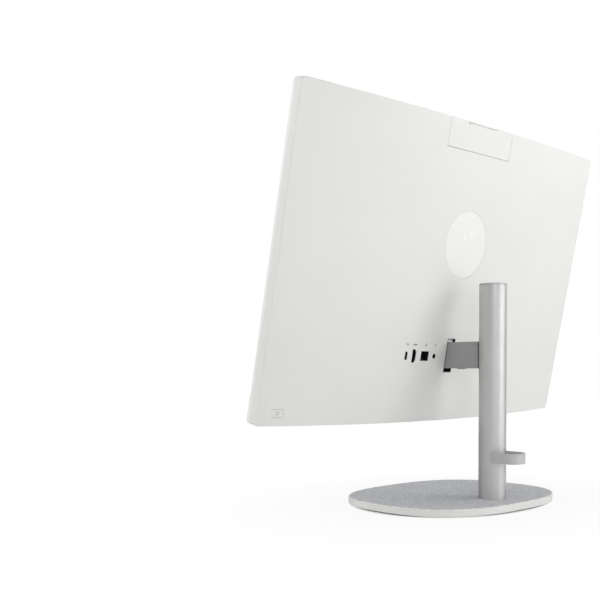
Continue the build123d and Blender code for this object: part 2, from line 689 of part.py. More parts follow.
# ================================================================ head: display
DISPLAY_HALF_WIDTH = 264.4
DISPLAY_LOW = 31.0
DISPLAY_HIGH = 329.6
LED_BAR_TALL = 2.2


def display_layer(half_width, low, high, front, back, corner=0.3):
    """Rectangular layer of the display between two heights and two depths."""
    with BuildPart() as layer:
        with BuildSketch(at_depth(front)):
            with Locations((0, (low + high) / 2)):
                RectangleRounded(2 * half_width, high - low, corner)
        extrude(amount=front - back)
    return layer


# Black-bordered glass of the display, a hair below the frame
with BuildPart() as lcd_glass:
    with BuildSketch(at_depth(GLASS_FRONT)):
        add(glass_face(0.2))
    extrude(amount=GLASS_FRONT - GLASS_BACK)

LED_BAR_LOW = DISPLAY_LOW + 0.2
LED_BAR_HIGH = LED_BAR_LOW + LED_BAR_TALL
GUIDE_LOW = LED_BAR_HIGH + 0.2
diffuser_films = display_layer(DISPLAY_HALF_WIDTH, DISPLAY_LOW, DISPLAY_HIGH, GLASS_BACK, FILM_BACK)
light_guide = display_layer(DISPLAY_HALF_WIDTH, GUIDE_LOW, DISPLAY_HIGH, FILM_BACK, GUIDE_BACK)
led_bar = display_layer(DISPLAY_HALF_WIDTH - 2.4, LED_BAR_LOW, LED_BAR_HIGH, FILM_BACK, GUIDE_BACK - 0.2)

# Folded steel tray that holds the layers behind the glass
tray_block = display_layer(
    DISPLAY_HALF_WIDTH + 1.6, DISPLAY_LOW - 0.8, DISPLAY_HIGH + 0.8, GLASS_BACK, TRAY_BACK, 1.0
)
tray_hollow = display_layer(
    DISPLAY_HALF_WIDTH + 0.6, DISPLAY_LOW - 0.2, DISPLAY_HIGH + 0.2, GLASS_BACK, GUIDE_BACK
)
with BuildPart() as panel_tray:
    add(tray_block.part)
    add(tray_hollow.part, mode=Mode.SUBTRACT)

# ================================================================ head: chassis and hinge
HINGE_PLATE_BACK = 9.4
EAR_INNER = 6.6
EAR_OUTER = 9.6
EAR_RADIUS = 9.0
CAMERA_BAY_HALF = 30.0
CHASSIS_WIDTH = 524.0
CHASSIS_TALL = 322.0
CHASSIS_CORNER = 6.0
BRACKET_SCREWS = (26.0, 56.0)        # spacing of the hinge bracket's screws, across and up
BRACKET_SCREW = 1.6
BRACKET_SCREW_HOLE = 1.7
SCREW_HEAD = 2.9
SCREW_HEAD_TALL = 1.6
SLIT = 0.8                           # width and depth of a screwdriver slit
SLIT_DEPTH = 0.5
CHASSIS_WINDOWS = ((-205, 110), (-205, 220), (110, 75), (-150, 70))
DISPLAY_STRIP_X = 200.0

# Steel chassis behind the display, notched for the camera.
# Two raised strips on it carry the display.
with BuildPart() as chassis:
    with BuildSketch(at_depth(CHASSIS_FRONT)):
        with Locations((0, HEAD_HEIGHT / 2)):
            RectangleRounded(CHASSIS_WIDTH, CHASSIS_TALL, CHASSIS_CORNER)
        with Locations((0, 312)):
            Rectangle(2 * CAMERA_BAY_HALF + 4, BEYOND, mode=Mode.SUBTRACT)
        with Locations((0, 290)):
            with GridLocations(330, 1, 2, 1):
                RectangleRounded(60, 40, 5, mode=Mode.SUBTRACT)
        with Locations(*CHASSIS_WINDOWS):
            RectangleRounded(50, 36, 5, mode=Mode.SUBTRACT)
        for height in BOSS_HEIGHTS:
            with Locations((-BOSS_X, height), (BOSS_X, height)):
                Circle(COVER_SCREW + 0.1, mode=Mode.SUBTRACT)
        with Locations((0, HINGE_HEIGHT)):
            with GridLocations(*BRACKET_SCREWS, 2, 2):
                Circle(BRACKET_SCREW_HOLE, mode=Mode.SUBTRACT)
    extrude(amount=CHASSIS_FRONT - CHASSIS_BACK)
    for side in (-1, 1):
        with on_head(side * DISPLAY_STRIP_X, 180, TRAY_BACK):
            Box(16, 250, CHASSIS_FRONT - TRAY_BACK, align=FROM_FRONT)

# Screws through the chassis into the cover's bosses, and those of the hinge bracket
with BuildPart() as chassis_screws:
    for height in BOSS_HEIGHTS:
        for side in (-1, 1):
            with on_head(side * BOSS_X, height, CHASSIS_FRONT - 1.2):
                Cylinder(SCREW_HEAD, 1.2, align=FROM_FRONT)
                Cylinder(COVER_SCREW, 7, align=FROM_FRONT)
                Box(3.6, SLIT, SLIT_DEPTH, align=FROM_FRONT, mode=Mode.SUBTRACT)
    with on_head(0, HINGE_HEIGHT, HINGE_PLATE_BACK + SCREW_HEAD_TALL):
        with GridLocations(*BRACKET_SCREWS, 2, 2):
            Cylinder(SCREW_HEAD, SCREW_HEAD_TALL, align=FROM_BACK)
            Cylinder(BRACKET_SCREW, SCREW_HEAD_TALL + HINGE_PLATE_BACK - CHASSIS_FRONT, align=FROM_BACK)
            Box(3.4, SLIT, SLIT_DEPTH, align=FROM_BACK, mode=Mode.SUBTRACT)


# Hinge bracket: a thick plate on the chassis with two ears that hold the shaft
with BuildPart() as hinge_bracket:
    with BuildSketch(at_depth(CHASSIS_BACK)):
        with Locations((0, HINGE_HEIGHT)):
            RectangleRounded(36, 68, 3)
            with GridLocations(*BRACKET_SCREWS, 2, 2):
                Circle(BRACKET_SCREW_HOLE, mode=Mode.SUBTRACT)
    extrude(amount=CHASSIS_BACK - HINGE_PLATE_BACK)
    for side in (-1, 1):
        ear_x = side * (EAR_INNER + EAR_OUTER) / 2
        ear_plane = Plane(
            origin=SCREEN.from_local_coords((ear_x, HINGE_HEIGHT, -HINGE_DEPTH)),
            x_dir=(0, math.sin(TILT), math.cos(TILT)),
            z_dir=(1, 0, 0),
        )
        with BuildSketch(ear_plane):
            Circle(EAR_RADIUS)
            with Locations((0, (HINGE_DEPTH - HINGE_PLATE_BACK + 0.5) / 2)):
                Rectangle(2 * EAR_RADIUS, HINGE_DEPTH - HINGE_PLATE_BACK + 0.5)
            Circle(HINGE_SHAFT_RADIUS, mode=Mode.SUBTRACT)
        extrude(amount=(EAR_OUTER - EAR_INNER) / 2, both=True)


def hinge_disc(outer, inner, start, end):
    """Ring on the hinge axis between two distances along X."""
    with BuildPart() as disc:
        with BuildSketch(Plane.YZ.offset(start)):
            with Locations((HINGE_Y, HINGE_Z)):
                Circle(outer)
                if inner > 0:
                    Circle(inner, mode=Mode.SUBTRACT)
        extrude(amount=end - start)
    return disc.part


SHAFT_END = 15.5
SHAFT_HEAD_RADIUS = 6.5
WASHER_RADIUS = 7.5
WASHER_SPANS = (
    (ARM_HALF_WIDTH + 0.05, EAR_INNER),
    (-EAR_INNER, -ARM_HALF_WIDTH - 0.05),
    (EAR_OUTER, EAR_OUTER + 0.9),
    (EAR_OUTER + 1.0, EAR_OUTER + 1.9),
)
SHAFT_ROD = hinge_disc(HINGE_SHAFT_RADIUS, 0, -EAR_OUTER - 1, SHAFT_END)
SHAFT_HEAD = hinge_disc(SHAFT_HEAD_RADIUS, 0, -EAR_OUTER - 3, -EAR_OUTER)
WASHERS = [hinge_disc(WASHER_RADIUS, HINGE_SHAFT_RADIUS, *span) for span in WASHER_SPANS]

# Steel shaft with a head at its -X end
with BuildPart() as hinge_shaft:
    add(SHAFT_ROD)
    add(SHAFT_HEAD)

# Friction washers beside the knuckle, and the two disc springs that load them
with BuildPart() as hinge_washers:
    for washer in WASHERS:
        add(washer)

# Nut that sets the friction
with BuildPart() as hinge_nut:
    with BuildSketch(Plane.YZ.offset(EAR_OUTER + 1.9)):
        with Locations((HINGE_Y, HINGE_Z)):
            RegularPolygon(6.4, 6)
            Circle(HINGE_SHAFT_RADIUS, mode=Mode.SUBTRACT)
    extrude(amount=3.6)


# ================================================================ head: electronics
BOARD_X = -27.5
BOARD_HEIGHT = 188.0
BOARD_WIDTH = 245.0
BOARD_TALL = 156.0
STANDOFF_X = 114.0
STANDOFF_Y = 70.0
CPU_X = 5.0
CPU_HEIGHT = 200.0
CPU_TOP = 11.8
PLATE_TOP = 14.2
PIPE_TOP = 17.2
CPU_SCREWS = 56.0            # spacing of the cold plate's screws
BOARD_SCREW = 1.6
BOARD_SCREW_HOLE = 1.7

# Main circuit board
with BuildPart() as mainboard:
    with BuildSketch(at_depth(BOARD_FRONT)):
        with Locations((BOARD_X, BOARD_HEIGHT)):
            Rectangle(BOARD_WIDTH, BOARD_TALL)
            with GridLocations(2 * STANDOFF_X, 2 * STANDOFF_Y, 2, 2):
                Circle(BOARD_SCREW_HOLE, mode=Mode.SUBTRACT)
    extrude(amount=BOARD_FRONT - BOARD_BACK)

with BuildPart() as processor:
    with on_head(CPU_X, CPU_HEIGHT, BOARD_BACK):
        Box(42, 28, CPU_TOP - BOARD_BACK, align=FROM_FRONT)

# Copper plate on the processor with four screw ears
with BuildPart() as cold_plate:
    with BuildSketch(at_depth(CPU_TOP)):
        with Locations((CPU_X, CPU_HEIGHT)):
            RectangleRounded(46, 46, 3)
            with GridLocations(CPU_SCREWS, CPU_SCREWS, 2, 2):
                Circle(4)
            for turn in (45, -45):
                with Locations(Location((0, 0), turn)):
                    Rectangle(76, 5)
            with GridLocations(CPU_SCREWS, CPU_SCREWS, 2, 2):
                Circle(BOARD_SCREW_HOLE, mode=Mode.SUBTRACT)
    extrude(amount=CPU_TOP - PLATE_TOP)

# Screws of the mainboard and of the cold plate
with BuildPart() as board_screws:
    with on_head(BOARD_X, BOARD_HEIGHT, BOARD_BACK + SCREW_HEAD_TALL):
        with GridLocations(2 * STANDOFF_X, 2 * STANDOFF_Y, 2, 2):
            Cylinder(SCREW_HEAD, SCREW_HEAD_TALL, align=FROM_BACK)
            Cylinder(BOARD_SCREW, SCREW_HEAD_TALL + BOARD_BACK - BOARD_FRONT, align=FROM_BACK)
            Box(3.4, SLIT, SLIT_DEPTH, align=FROM_BACK, mode=Mode.SUBTRACT)
    with on_head(CPU_X, CPU_HEIGHT, PLATE_TOP + 1.2):
        with GridLocations(CPU_SCREWS, CPU_SCREWS, 2, 2):
            Cylinder(SCREW_HEAD, 1.2, align=FROM_BACK)
            Cylinder(BOARD_SCREW, 1.2 + PLATE_TOP - BOARD_BACK, align=FROM_BACK)
            Box(3.4, SLIT, SLIT_DEPTH, align=FROM_BACK, mode=Mode.SUBTRACT)

# Fan: flat housing, motor post, blower wheel
FAN_SIZE = 78.0
FAN_FRONT = CHASSIS_BACK
FAN_BACK = 15.2
FAN_WALL = 1.0
FAN_CAVITY_RADIUS = 35.0
WHEEL_RADIUS = 31.5
HUB_RADIUS = 13.0
FAN_SHAFT_RADIUS = 1.5
FAN_INTAKE_RADIUS = 23.0
FIN_HEIGHT = FAN_HEIGHT + FAN_SIZE / 2
FIN_TOP = 302.0
with BuildPart() as fan_housing:
    with BuildSketch(at_depth(FAN_FRONT)):
        with Locations((FAN_X, FAN_HEIGHT)):
            RectangleRounded(FAN_SIZE, FAN_SIZE, 3)
    extrude(amount=FAN_FRONT - FAN_BACK)
    with BuildSketch(at_depth(FAN_FRONT + FAN_WALL)):
        with Locations((FAN_X, FAN_HEIGHT)):
            Circle(FAN_CAVITY_RADIUS)
            with Locations((0, FAN_SIZE / 4)):
                Rectangle(2 * FAN_CAVITY_RADIUS, FAN_SIZE / 2 + 1)
    extrude(amount=FAN_FRONT - FAN_BACK + 2 * FAN_WALL, mode=Mode.SUBTRACT)
    with BuildSketch(at_depth(FAN_BACK - 2)):
        with Locations((FAN_X, FAN_HEIGHT)):
            Circle(FAN_INTAKE_RADIUS)
    extrude(amount=-4, mode=Mode.SUBTRACT)

# Motor post with the fan's shaft
with BuildPart() as fan_motor:
    with on_head(FAN_X, FAN_HEIGHT, FAN_FRONT + FAN_WALL):
        Cylinder(10, 1.0, align=FROM_FRONT)
        Cylinder(FAN_SHAFT_RADIUS, 4.6, align=FROM_FRONT)

# Blower wheel: hub, ring and curved blades
BLADES = 27
BLADE_TURN = 24              # degrees that a blade leans from the radius
BLADE_LENGTH = 21.0
BLADE_THICKNESS = 0.9
WHEEL_FRONT = FAN_FRONT + FAN_WALL + 1.5
with BuildPart() as fan_wheel:
    with BuildSketch(at_depth(WHEEL_FRONT)):
        with Locations((FAN_X, FAN_HEIGHT)):
            Circle(HUB_RADIUS)
            with PolarLocations(HUB_RADIUS + 8.8, BLADES):
                with Locations(Location((0, 0), BLADE_TURN)):
                    Rectangle(BLADE_LENGTH, BLADE_THICKNESS)
            Circle(FAN_SHAFT_RADIUS + RUNNING_CLEARANCE, mode=Mode.SUBTRACT)
    extrude(amount=-4.0)
    with BuildSketch(at_depth(WHEEL_FRONT)):
        with Locations((FAN_X, FAN_HEIGHT)):
            Circle(WHEEL_RADIUS)
            Circle(WHEEL_RADIUS - 1.2, mode=Mode.SUBTRACT)
    extrude(amount=-1.2)

# Aluminium fins above the fan, between two sheets
FIN_SHEET = 0.5
FIN_WIDTH = 72.0
FIN_PITCH = 2.4
UP_AND_BACK = (Align.CENTER, Align.MIN, Align.MAX)
with BuildPart() as fin_stack:
    with on_head(FAN_X, FIN_HEIGHT + 0.4, FAN_FRONT + 0.6):
        Box(FIN_WIDTH, FIN_TOP - FIN_HEIGHT, FIN_SHEET, align=UP_AND_BACK)
        with GridLocations(FIN_PITCH, 1, 30, 1):
            Box(0.4, FIN_TOP - FIN_HEIGHT, 6.4, align=UP_AND_BACK)
    with on_head(FAN_X, FIN_HEIGHT + 0.4, PLATE_TOP - FIN_SHEET):
        Box(FIN_WIDTH, FIN_TOP - FIN_HEIGHT, FIN_SHEET, align=UP_AND_BACK)

# Flattened copper heat pipe from the cold plate to the fins
PIPE_WIDTH = 8.0
with BuildPart() as heat_pipe:
    with BuildSketch(at_depth(PLATE_TOP)):
        with BuildLine() as pipe_line:
            FilletPolyline(
                (CPU_X - 18, CPU_HEIGHT),
                (CPU_X + 70, CPU_HEIGHT),
                (CPU_X + 100, FIN_TOP - 14),
                (FAN_X + 12, FIN_TOP - 14),
                radius=24,
            )
        trace(pipe_line.line, line_width=PIPE_WIDTH)
    extrude(amount=PLATE_TOP - PIPE_TOP)

# Two memory modules lying over the board, each in its socket
MEMORY = ((-104, 232), (-104, 184))
MEMORY_WIDTH = 69.6
MEMORY_TALL = 30.0
MEMORY_BOARD = 1.2
with BuildPart() as memory_modules:
    for x, height in MEMORY:
        with on_head(x, height, BOARD_BACK + 2.2):
            Box(MEMORY_WIDTH, MEMORY_TALL, MEMORY_BOARD, align=FROM_FRONT)
            with Locations((0, 3, -MEMORY_BOARD)):
                with GridLocations(17, 1, 4, 1):
                    Box(12, 14, 1.0, align=FROM_FRONT)

# Solid state drive and wireless card
DRIVE = (30.0, 135.0)
RADIO = (68.0, 170.0)
CARD_WIDTH = 22.0
CARD_BOARD = 0.8
CARD_FRONT = BOARD_BACK + 1.4
with BuildPart() as plug_in_cards:
    with on_head(*DRIVE, CARD_FRONT):
        Box(80, CARD_WIDTH, CARD_BOARD, align=FROM_FRONT)
        with Locations((-16, 0, -CARD_BOARD), (16, 0, -CARD_BOARD)):
            Box(22, 16, 1.2, align=FROM_FRONT)
    with on_head(*RADIO, CARD_FRONT):
        Box(CARD_WIDTH, 30, CARD_BOARD, align=FROM_FRONT)
        with Locations((0, 2, -CARD_BOARD)):
            Box(17, 20, 1.4, align=FROM_FRONT)

# Connectors on the mainboard that hold the memory and the two cards
with BuildPart() as board_connectors:
    for x, height in MEMORY:
        with on_head(x, height - 18, BOARD_BACK):
            Box(74, 6, 4.2, align=FROM_FRONT)
    with on_head(DRIVE[0] - 42.6, DRIVE[1], BOARD_BACK):
        Box(5, CARD_WIDTH, 3.2, align=FROM_FRONT)
    with on_head(RADIO[0], RADIO[1] - 17.6, BOARD_BACK):
        Box(CARD_WIDTH, 5, 3.2, align=FROM_FRONT)

# Aerials in the two upper corners
AERIAL_X = 190.0
AERIAL_HEIGHT = 319.0
with BuildPart() as aerials:
    for side in (-1, 1):
        with on_head(side * AERIAL_X, AERIAL_HEIGHT, CHASSIS_BACK):
            Box(46, 9, 0.8, align=FROM_FRONT)

# Speakers low at both sides: closed boxes, each with an oval driver
SPEAKER_X = 180.0
SPEAKER_HEIGHT = 23.0
SPEAKER_FRONT = 7.4
SPEAKER_BACK = 13.8
DRIVER_LENGTH = 45.6
DRIVER_WIDTH = 17.6
SURROUND = 3.5
with BuildPart() as speaker_boxes:
    for side in (-1, 1):
        with on_head(side * SPEAKER_X, SPEAKER_HEIGHT, SPEAKER_FRONT):
            Box(88, 24, SPEAKER_BACK - SPEAKER_FRONT, align=FROM_FRONT)
    with BuildSketch(at_depth(SPEAKER_BACK)):
        for side in (-1, 1):
            with Locations((side * SPEAKER_X, SPEAKER_HEIGHT)):
                SlotOverall(DRIVER_LENGTH + 0.4, DRIVER_WIDTH + 0.4)
    extrude(amount=4, mode=Mode.SUBTRACT)

# Each driver: a cone with a raised surround
with BuildPart() as speaker_drivers:
    with BuildSketch(at_depth(SPEAKER_BACK - 0.6)):
        for side in (-1, 1):
            with Locations((side * SPEAKER_X, SPEAKER_HEIGHT)):
                SlotOverall(DRIVER_LENGTH, DRIVER_WIDTH)
                SlotOverall(DRIVER_LENGTH - 2 * SURROUND, DRIVER_WIDTH - 2 * SURROUND, mode=Mode.SUBTRACT)
    extrude(amount=1.0)
    with BuildSketch(at_depth(SPEAKER_BACK - 1.6)):
        for side in (-1, 1):
            with Locations((side * SPEAKER_X, SPEAKER_HEIGHT)):
                SlotOverall(DRIVER_LENGTH, DRIVER_WIDTH)
    extrude(amount=2.4)


# ================================================================ head: sockets
IO_BOARD_FRONT = 18.0
IO_BOARD_BACK = 19.6
IO_BOARD_TALL = 42.0
IO_BOARDS = {55.0: 70.0, -88.0: 44.0}
BUTTON_BOARD_FRONT = 8.0
BUTTON_BOARD_BACK = 9.2

# Small boards: two carry the sockets and one the switch behind the power button
with BuildPart() as small_boards:
    for x, width in IO_BOARDS.items():
        with on_head(x, PORT_HEIGHT, IO_BOARD_FRONT):
            Box(width, IO_BOARD_TALL, IO_BOARD_BACK - IO_BOARD_FRONT, align=FROM_FRONT)
    with on_head(BUTTON_X, BUTTON_HEIGHT, BUTTON_BOARD_FRONT):
        Box(26, 12, BUTTON_BOARD_BACK - BUTTON_BOARD_FRONT, align=FROM_FRONT)
    with on_head(BUTTON_X, BUTTON_HEIGHT, BUTTON_BOARD_BACK):
        Box(6, 6, 1.3, align=FROM_FRONT)

# Pillars of every board on the chassis
with BuildPart() as board_pillars:
    with on_head(BOARD_X, BOARD_HEIGHT, CHASSIS_BACK):
        with GridLocations(2 * STANDOFF_X, 2 * STANDOFF_Y, 2, 2):
            Cylinder(3.0, BOARD_FRONT - CHASSIS_BACK, align=FROM_FRONT)
    for x, width in IO_BOARDS.items():
        with on_head(x, PORT_HEIGHT, CHASSIS_BACK):
            with GridLocations(width - 7, IO_BOARD_TALL - 7, 2, 2):
                Cylinder(2.5, IO_BOARD_FRONT - CHASSIS_BACK, align=FROM_FRONT)
    with on_head(BUTTON_X, BUTTON_HEIGHT, CHASSIS_BACK):
        with GridLocations(20, 1, 2, 1):
            Cylinder(2.0, BUTTON_BOARD_FRONT - CHASSIS_BACK, align=FROM_FRONT)


RECESSED = head_block(SOCKET_RECESS, 0)
UNDER_COVER = head_block(WALL + 0.2, 0)


def socket(x, width, tall):
    """Body of a socket under the cover, from its board backwards."""
    with BuildPart() as body:
        with on_head(x, PORT_HEIGHT, IO_BOARD_BACK):
            Box(width, tall, 20, align=FROM_FRONT)
        add(UNDER_COVER, mode=Mode.INTERSECT)
    return body.part


def mouth(sketch_face, x):
    """Mouth of a socket in its hole in the cover."""
    with BuildPart() as lip:
        with BuildSketch(at_depth(IO_BOARD_BACK + 4)):
            with Locations((x, PORT_HEIGHT)):
                add(sketch_face)
        extrude(amount=-12)
        add(RECESSED, mode=Mode.INTERSECT)
    return lip.part


def cavity(sketch_face, x, depth):
    """Hollow that a plug goes into, from a depth out past the surface."""
    with BuildPart() as hollow:
        with BuildSketch(at_depth(depth)):
            with Locations((x, PORT_HEIGHT)):
                add(sketch_face)
        extrude(amount=-20)
    return hollow.part


def slot_face(long, short):
    with BuildSketch() as face:
        SlotOverall(long, short, rotation=90)
    return face.sketch


def box_face(width, tall, corner=SOCKET_CORNER):
    with BuildSketch() as face:
        RectangleRounded(width, tall, corner)
    return face.sketch


def ring_face(outer, inner=0):
    with BuildSketch() as face:
        Circle(outer)
        if inner > 0:
            Circle(inner, mode=Mode.SUBTRACT)
    return face.sketch


PLUG_GAP = 0.1               # play of a socket's mouth in its hole

# Small reversible socket with its tongue
USB_C_BODY = socket(USB_C_X, 7.0, 12.6)
USB_C_MOUTH = mouth(slot_face(USB_C_TALL - 2 * PLUG_GAP, USB_C_WIDTH - 2 * PLUG_GAP), USB_C_X)
USB_C_CAVITY = cavity(slot_face(8.6, 2.8), USB_C_X, 24.0)
with BuildPart() as usb_c_socket:
    add(USB_C_BODY)
    add(USB_C_MOUTH)
    add(USB_C_CAVITY, mode=Mode.SUBTRACT)
    with on_head(USB_C_X, PORT_HEIGHT, 23.5):
        Box(0.7, 6.6, 5.6, align=FROM_FRONT)

# Video socket with its contact blade
HDMI_BODY = socket(HDMI_X, 8.6, 18.0)
HDMI_MOUTH = mouth(hdmi_face(PLUG_GAP), HDMI_X)
HDMI_CAVITY = cavity(hdmi_face(0.6), HDMI_X, 21.5)
with BuildPart() as hdmi_socket:
    add(HDMI_BODY)
    add(HDMI_MOUTH)
    add(HDMI_CAVITY, mode=Mode.SUBTRACT)
    with on_head(HDMI_X, PORT_HEIGHT, 21.0):
        Box(1.6, 11.4, 5.2, align=FROM_FRONT)

# Network socket
ETHERNET_BODY = socket(ETHERNET_X, 15.4, 14.0)
ETHERNET_MOUTH = mouth(box_face(ETHERNET_WIDTH - 2 * PLUG_GAP, ETHERNET_TALL - 2 * PLUG_GAP), ETHERNET_X)
ETHERNET_CAVITY = cavity(box_face(ETHERNET_WIDTH - 1.2, ETHERNET_TALL - 1.4, 0.2), ETHERNET_X, 20.6)
with BuildPart() as ethernet_socket:
    add(ETHERNET_BODY)
    add(ETHERNET_MOUTH)
    add(ETHERNET_CAVITY, mode=Mode.SUBTRACT)

# Round power inlet with its pin
JACK_BODY = socket(POWER_JACK_X, 9.0, 12.0)
JACK_MOUTH = mouth(ring_face(JACK_RADIUS - PLUG_GAP), POWER_JACK_X)
JACK_CAVITY = cavity(ring_face(2.3), POWER_JACK_X, 21.0)
with BuildPart() as power_jack:
    add(JACK_BODY)
    add(JACK_MOUTH)
    add(JACK_CAVITY, mode=Mode.SUBTRACT)
    with on_head(POWER_JACK_X, PORT_HEIGHT, 20.5):
        Cylinder(0.4, 9.0, align=FROM_FRONT)

# Two flat sockets side by side, each with its contact tongue
USB_A_BODIES = [socket(x, 8.0, 15.6) for x in USB_A_X]
USB_A_MOUTH = box_face(USB_A_WIDTH - 2 * PLUG_GAP, USB_A_TALL - 2 * PLUG_GAP)
USB_A_MOUTHS = [mouth(USB_A_MOUTH, x) for x in USB_A_X]
USB_A_SPACE = box_face(USB_A_WIDTH - 0.9, USB_A_TALL - 0.9, 0.3)
USB_A_CAVITIES = [cavity(USB_A_SPACE, x, 20.6) for x in USB_A_X]
with BuildPart() as usb_a_sockets:
    for shell in USB_A_BODIES + USB_A_MOUTHS:
        add(shell)
    for hollow in USB_A_CAVITIES:
        add(hollow, mode=Mode.SUBTRACT)
    for x in USB_A_X:
        with on_head(x + 1.2, PORT_HEIGHT, 20.0):
            Box(1.8, 11.0, 5.2, align=FROM_FRONT)


# ================================================================ head: button and camera
BUTTON_FRONT = 11.8
BUTTON_SURFACE = head_block(0.2, 0)

# Power button: a flush cap with a flange behind the cover
with BuildPart() as power_button:
    with BuildSketch(at_depth(BUTTON_FRONT)):
        with Locations((BUTTON_X, BUTTON_HEIGHT)):
            RectangleRounded(BUTTON_WIDTH, BUTTON_TALL, BUTTON_CORNER)
    extrude(amount=-12)
    add(BUTTON_SURFACE, mode=Mode.INTERSECT)
    with on_head(BUTTON_X, BUTTON_HEIGHT, BUTTON_FRONT):
        Box(BUTTON_WIDTH + 2.4, BUTTON_TALL + 2.4, 0.8, align=FROM_FRONT)

# Pop-up camera: a cap flush with the top wall and a body that hides in the head
CAMERA_BOTTOM = 307.0
CAMERA_FRONT = 6.6
CAP_SEAT = HEAD_HEIGHT - CAMERA_CAP_HEIGHT
LENS_HEIGHT = 321.0
with BuildPart() as camera_body:
    with BuildSketch(at_depth(CAP_FRONT)):
        with Locations((0, CAP_SEAT)):
            Rectangle(CAMERA_CAP_WIDTH, BEYOND, align=(Align.CENTER, Align.MIN))
    extrude(amount=-BEYOND)
    add(OUTSIDE, mode=Mode.INTERSECT)
    with on_head(0, (CAMERA_BOTTOM + CAP_SEAT) / 2, CAMERA_FRONT):
        Box(2 * CAMERA_HALF_WIDTH, CAP_SEAT - CAMERA_BOTTOM, CAMERA_BACK - CAMERA_FRONT, align=FROM_FRONT)
    with BuildSketch(at_depth(CAMERA_FRONT)):
        with Locations((0, LENS_HEIGHT)):
            RectangleRounded(46, 16, 3)
    extrude(amount=-1.0, mode=Mode.SUBTRACT)
    with BuildSketch(at_depth(CAMERA_FRONT)):
        with Locations((0, LENS_HEIGHT)):
            Circle(5)
    extrude(amount=-6, mode=Mode.SUBTRACT)

with BuildPart() as camera_lens:
    with on_head(0, LENS_HEIGHT, CAMERA_FRONT + 1.2):
        Cylinder(4.9, 4.6, align=FROM_FRONT)
    fillet(camera_lens.edges().filter_by(GeomType.CIRCLE), 0.4)

with BuildPart() as camera_window:
    with BuildSketch(at_depth(CAMERA_FRONT + 0.1)):
        with Locations((0, LENS_HEIGHT)):
            RectangleRounded(45.8, 15.8, 2.9)
    extrude(amount=-0.8)

# Channel that guides the camera, with tabs on the chassis
with BuildPart() as camera_guide:
    with on_head(0, 298, 5.0):
        Box(58, 33.6, 14.8, align=UP_AND_BACK)
    with on_head(0, 303, CAMERA_FRONT - 0.4):
        Box(52.8, 40, 12.4, align=UP_AND_BACK, mode=Mode.SUBTRACT)
    with on_head(0, 303, CHASSIS_BACK):
        with GridLocations(70, 1, 2, 1):
            Box(16, 12, 1.0, align=UP_AND_BACK)


# ================================================================ the pieces, one file each
PIECES = {
    "base_shell": base_shell,
    "base_skin": base_skin,
    "base_weight": base_weight,
    "base_underlay": base_underlay,
    "rubber_feet": rubber_feet,
    "base_screws": base_screws,
    "pole_tube": pole_tube,
    "pole_cap": pole_cap,
    "pole_foot": pole_foot,
    "arm_insert": arm_insert,
    "tang_screws": tang_screws,
    "arm_core": arm_core,
    "arm_sleeve": arm_sleeve,
    "arm_screw_cap": arm_screw_cap,
    "cable_clip": cable_clip,
    "clip_screw": clip_screw,
    "rear_cover": rear_cover,
    "slot_liner": slot_liner,
    "camera_panel": camera_panel,
    "badge": badge,
    "front_frame": front_frame,
    "chin": chin,
    "lcd_glass": lcd_glass,
    "diffuser_films": diffuser_films,
    "light_guide": light_guide,
    "led_bar": led_bar,
    "panel_tray": panel_tray,
    "chassis": chassis,
    "chassis_screws": chassis_screws,
    "hinge_bracket": hinge_bracket,
    "hinge_shaft": hinge_shaft,
    "hinge_washers": hinge_washers,
    "hinge_nut": hinge_nut,
    "mainboard": mainboard,
    "small_boards": small_boards,
    "board_pillars": board_pillars,
    "board_screws": board_screws,
    "board_connectors": board_connectors,
    "memory_modules": memory_modules,
    "plug_in_cards": plug_in_cards,
    "processor": processor,
    "cold_plate": cold_plate,
    "heat_pipe": heat_pipe,
    "fin_stack": fin_stack,
    "fan_housing": fan_housing,
    "fan_motor": fan_motor,
    "fan_wheel": fan_wheel,
    "speaker_boxes": speaker_boxes,
    "speaker_drivers": speaker_drivers,
    "aerials": aerials,
    "usb_c_socket": usb_c_socket,
    "hdmi_socket": hdmi_socket,
    "ethernet_socket": ethernet_socket,
    "power_jack": power_jack,
    "usb_a_sockets": usb_a_sockets,
    "power_button": power_button,
    "camera_body": camera_body,
    "camera_lens": camera_lens,
    "camera_window": camera_window,
    "camera_guide": camera_guide,
}
os.makedirs("parts", exist_ok=True)
for name, piece in PIECES.items():
    piece.part.label = name
    export_step(piece.part, f"parts/{name}.step")
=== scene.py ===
import json
import math

import bmesh
import bpy
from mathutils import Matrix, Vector
from mathutils.bvhtree import BVHTree


